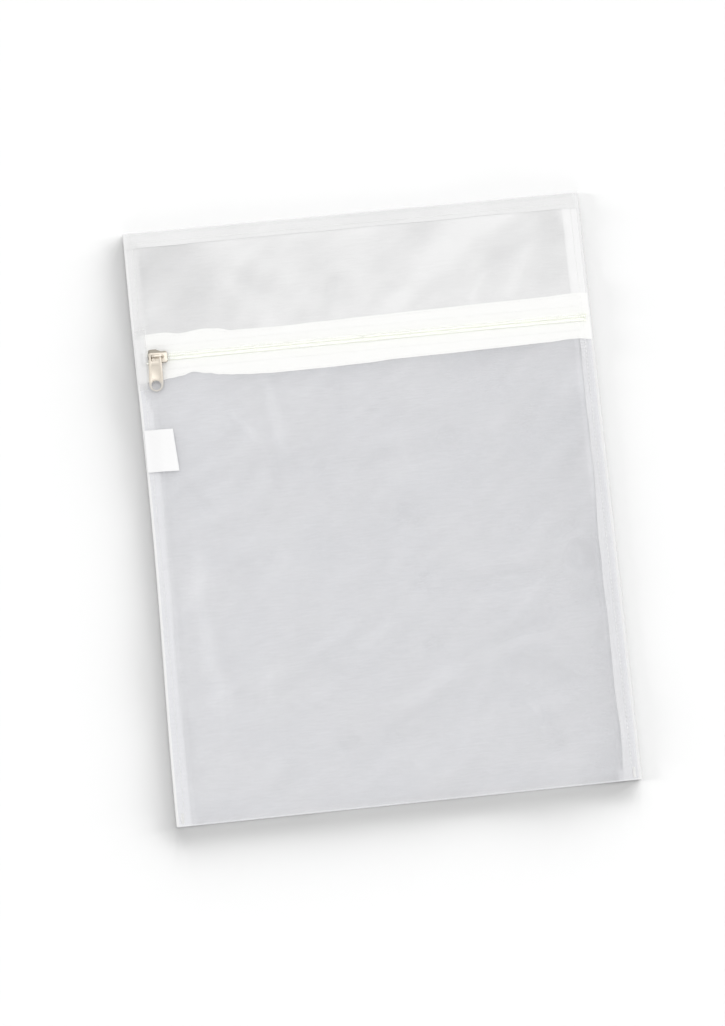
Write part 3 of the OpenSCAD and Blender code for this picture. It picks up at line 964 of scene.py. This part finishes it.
def backdrop_paper():
    """Matt backdrop paper, faintly grained. Low lamps bring its grey up to white outside the bag's shadow."""
    material, tree = new_material("paper_matt_white")
    at = add(tree, "ShaderNodeTexCoord").outputs["Object"]
    grain = add(tree, "ShaderNodeTexNoise", {"Vector": at, "Scale": 300.0, "Detail": 3.0}).outputs["Fac"]
    relief = add(tree, "ShaderNodeBump", {"Height": grain, "Strength": 0.05, "Distance": 0.0002}).outputs[0]
    matt = add(tree, "ShaderNodeBsdfDiffuse", {"Color": colour("#9B9B9B"), "Normal": relief})
    add(tree, "ShaderNodeOutputMaterial", {"Surface": matt.outputs[0]})
    return material


BODY_NET = net("polyester_net_knitted", "#F3F4F8", "#EDEDEF", 0.475, 0.735, 0.02)
UPPER_NET = net("polyester_net_knitted_close", "#F8F8F8", "#F3F3F3", 0.74, 0.94, 0.015)
SEAM_NET = net("polyester_net_turned_in", "#F5F5F5", "#F0F0F0", 0.80, 0.98, 0.01)
TAPE_CLOTH = woven_tape()
NYLON = nylon_filament()
THREAD = sewing_thread()
NICKEL = nickel_plate()
RIBBON = satin_ribbon()


# Building: the cloth of the bag

bm, cut = body_cloth()
body = finish_piece("body_cloth", bm, BODY_NET)
stay_with_bag(body, "body_panel")

bm, cut = upper_cloth()
panels = []
for word, side in SIDES.items():
    panel = finish_piece("upper_cloth_" + word, half_of(bm, side), UPPER_NET)
    lift_with_mouth(panel, "upper_front_panel")
    panels.append(panel)

seams = []
for word, side in SIDES.items():
    bm, cut = side_seam(side)
    seam = finish_piece(word + "_seam_cloth", bm, SEAM_NET)
    stay_with_bag(seam, word + "_side_seam")
    seams.append(seam)

bm, cut = top_seam()
hem = finish_piece("top_seam_cloth", bm, SEAM_NET)
stay_with_bag(hem, "top_seam")

# Building: the zip

bm, cut = tape(-1)
low_tape = thicken(finish_piece("lower_tape", bm, TAPE_CLOTH), TAPE_T)
stay_with_bag(low_tape, "zip_tape_lower")

bm, cut = tape(1)
for word, side in SIDES.items():
    high_tape = thicken(finish_piece("upper_tape_" + word, half_of(bm, side), TAPE_CLOTH), TAPE_T)
    lift_with_mouth(high_tape, "zip_tape_upper")

for word, side in SIDES.items():
    end = thicken(finish_piece("upper_tape_end_" + word, tape_end(side), TAPE_CLOTH), TAPE_T)
    stay_with_bag(end, "upper_tape_" + word + "_end")

bm, cut = tape_cover()
cover = finish_piece("tape_cover_left", bm, SEAM_NET)
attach(cover, "bag")

half_turns = round(-COIL_START / COIL_PITCH)
low_coil = finish_piece("lower_coil", coil(-1, 0, COIL_TURNS), NYLON)
stay_with_bag(low_coil, "coil_lower")
low_core = finish_piece("lower_core", core(-1, SLIDER_X + PART_HALF, CORE_END), THREAD)
stay_with_bag(low_core, "core_lower")
chain = [low_coil, low_core]
for word, side in SIDES.items():
    turns = (0, half_turns) if side < 0 else (half_turns, COIL_TURNS)
    high_coil = finish_piece("upper_coil_" + word, coil(1, *turns), NYLON)
    lift_with_mouth(high_coil, "coil_upper")
    reach = (SLIDER_X + PART_HALF, 0.0) if side < 0 else (0.0, CORE_END)
    high_core = finish_piece("upper_core_" + word, core(1, *reach), THREAD)
    lift_with_mouth(high_core, "core_upper")
    chain += [high_coil, high_core]

# Building: the sewing

SUNK_THREAD = {"long": 3.0, "gap": 0.2, "thick": 0.17, "high": 0.14}
COIL_THREAD = {"long": 3.6, "gap": -0.6, "thick": 0.32, "high": 0.22}

for word, side in SIDES.items():
    x = side * (HALF_W - SIDE_SEAM + SEAM_ROW)
    row = stitches([
        ((x, -213, 0), (x, ZIP_Y - TAPE_OUT, 0), front_z),
        ((x, ZIP_Y - TAPE_OUT, 0), (x, ZIP_Y - TAPE_IN, 0), on_tape),
        ((x, ZIP_Y + TAPE_IN, 0), (x, ZIP_Y + TAPE_OUT, 0), on_tape),
        ((x, ZIP_Y + TAPE_OUT, 0), (x, 223, 0), front_z),
    ], **SUNK_THREAD)
    stay_with_bag(finish_piece(word + "_seam_stitches", row, THREAD), word + "_seam_stitching")
    tack = finish_piece(word + "_tack_stitches", bar_tack(side), THREAD)
    stay_with_bag(tack, word + "_bottom_tack")

hem_y = HALF_L - TOP_SEAM + SEAM_ROW
row = stitches([((-166, hem_y, 0), (166, hem_y, 0), on_hem)], **SUNK_THREAD)
stay_with_bag(finish_piece("top_seam_stitches", row, THREAD), "top_seam_stitching")

row = stitches(tape_rows(-1, -FLAP_END, 0) + tape_rows(-1, 0, FLAP_END))
stay_with_bag(finish_piece("lower_tape_stitches", row, THREAD), "lower_tape_stitching")

row = stitches(coil_rows(-1, CHAIN_LEFT, CHAIN_SEWN), **COIL_THREAD)
sewing = finish_piece("lower_coil_stitches", row, THREAD)
stay_with_bag(sewing, "coil_stitch_lower")
chain.append(sewing)
for word, side in SIDES.items():
    row = stitches(tape_rows(1, 0, side * FLAP_END))
    sewing = finish_piece("upper_tape_stitches_" + word, row, THREAD)
    lift_with_mouth(sewing, "upper_tape_stitching")
    reach = (CHAIN_LEFT, 0) if side < 0 else (0, CHAIN_SEWN)
    row = stitches(coil_rows(1, *reach), **COIL_THREAD)
    sewing = finish_piece("upper_coil_stitches_" + word, row, THREAD)
    lift_with_mouth(sewing, "coil_stitch_upper")
    chain.append(sewing)

# Building: slider, puller and label

slider = rounded_copy("slider_body", "slider", NICKEL, 0.14)
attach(slider, "slider")
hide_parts("slider_body")
puller = rounded_copy("pull_tab", "puller_tab", NICKEL, 0.12)
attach(puller, "puller")
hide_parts("pull_tab")

bm, cut = label_cloth()
label = thicken(finish_piece("label_ribbon", bm, RIBBON), LABEL_T)
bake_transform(label)
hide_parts("care_label")


# Floor

bm = bmesh.new()
bmesh.ops.create_grid(bm, x_segments=1, y_segments=1, size=3.0)
floor_mesh = bpy.data.meshes.new("floor")
bm.to_mesh(floor_mesh)
bm.free()
floor = bpy.data.objects.new("floor", floor_mesh)
bpy.context.scene.collection.objects.link(floor)
floor_mesh.materials.append(backdrop_paper())


# Light

def sun(name, turn, height, spread, strength):
    """A soft distant lamp, from a direction in degrees round from +X and above the floor."""
    data = bpy.data.lights.new(name, "SUN")
    data.angle = math.radians(spread)
    data.energy = strength
    made = bpy.data.objects.new(name, data)
    a, e = math.radians(turn), math.radians(height)
    away = Vector((math.cos(a) * math.cos(e), math.sin(a) * math.cos(e), math.sin(e)))
    made.rotation_euler = away.to_track_quat("Z", "Y").to_euler()
    bpy.context.scene.collection.objects.link(made)
    return made


def group(name, members):
    """A collection that a lamp lights, or that blocks a lamp."""
    made = bpy.data.collections.new(name)
    for member in members:
        made.objects.link(member)
    return made


# A white room: the camera and the metal see it at full white, and it lights the cloth a little less
SKY_LIGHT = 0.82
world = bpy.data.worlds.new("studio")
bpy.context.scene.world = world
world.use_nodes = True
tree = world.node_tree
tree.nodes.clear()
path = add(tree, "ShaderNodeLightPath")
shown = path.outputs["Is Camera Ray"]
for ray in ("Is Glossy Ray", "Is Transmission Ray"):
    shown = add(tree, "ShaderNodeMath", {0: shown, 1: path.outputs[ray]}, operation="MAXIMUM").outputs[0]
level = add(tree, "ShaderNodeMapRange", {"Value": shown, "To Min": SKY_LIGHT, "To Max": 1.0}).outputs[0]
sky = add(tree, "ShaderNodeBackground", {"Color": colour("#FFFFFF"), "Strength": level})
add(tree, "ShaderNodeOutputWorld", {"Surface": sky.outputs[0]})

cloths = [body, hem, *seams, *panels]
# Light passes between the turns of the chain, so it throws no hard shadow on its tapes
solid_pieces = group("solid_pieces", [*cloths, slider, puller, label])
key = sun("key_from_upper_right", 50, 62, 70, 0.72)
key.light_linking.blocker_collection = solid_pieces
fill = sun("fill_for_chain", 230, 45, 100, 1.15)
fill.light_linking.receiver_collection = group("chain_only", chain)
fill.light_linking.blocker_collection = solid_pieces

# Low lamps for the floor alone, by their turn: the flat bag throws a soft shadow to its lower left
LOW_LAMPS = {8: 8.4, 28: 9.2, 46: 9.9, 64: 10.3, 82: 9.1, 104: 5.4}
LOW_HEIGHT = 5.6
LOW_SPREAD = 7
low_lamps = [
    sun("floor_from_%d" % turn, turn, LOW_HEIGHT, LOW_SPREAD, strength)
    for turn, strength in LOW_LAMPS.items()
]
# Two more throw a faint one to its right and above it
low_lamps.append(sun("floor_from_left", 172, 7.0, 8, 8.3))
low_lamps.append(sun("floor_from_below", 262, 9, 6, 2.3))
floor_only = group("floor_only", [floor])
cloth_only = group("cloth_only", cloths)
for low_lamp in low_lamps:
    low_lamp.light_linking.receiver_collection = floor_only
    low_lamp.light_linking.blocker_collection = cloth_only

# The camera stands over the bag, a little towards its lower left, turned so that the bag leans to the left
camera = bpy.data.objects.new("camera", bpy.data.cameras.new("camera"))
camera.data.lens = 55.5
camera.location = (-0.04890, -0.08319, 1.19512)
camera.rotation_euler = [math.radians(d) for d in (3.894, -1.300, -5.719)]
bpy.context.scene.collection.objects.link(camera)
bpy.context.scene.camera = camera
bpy.context.scene.view_settings.view_transform = "Standard"
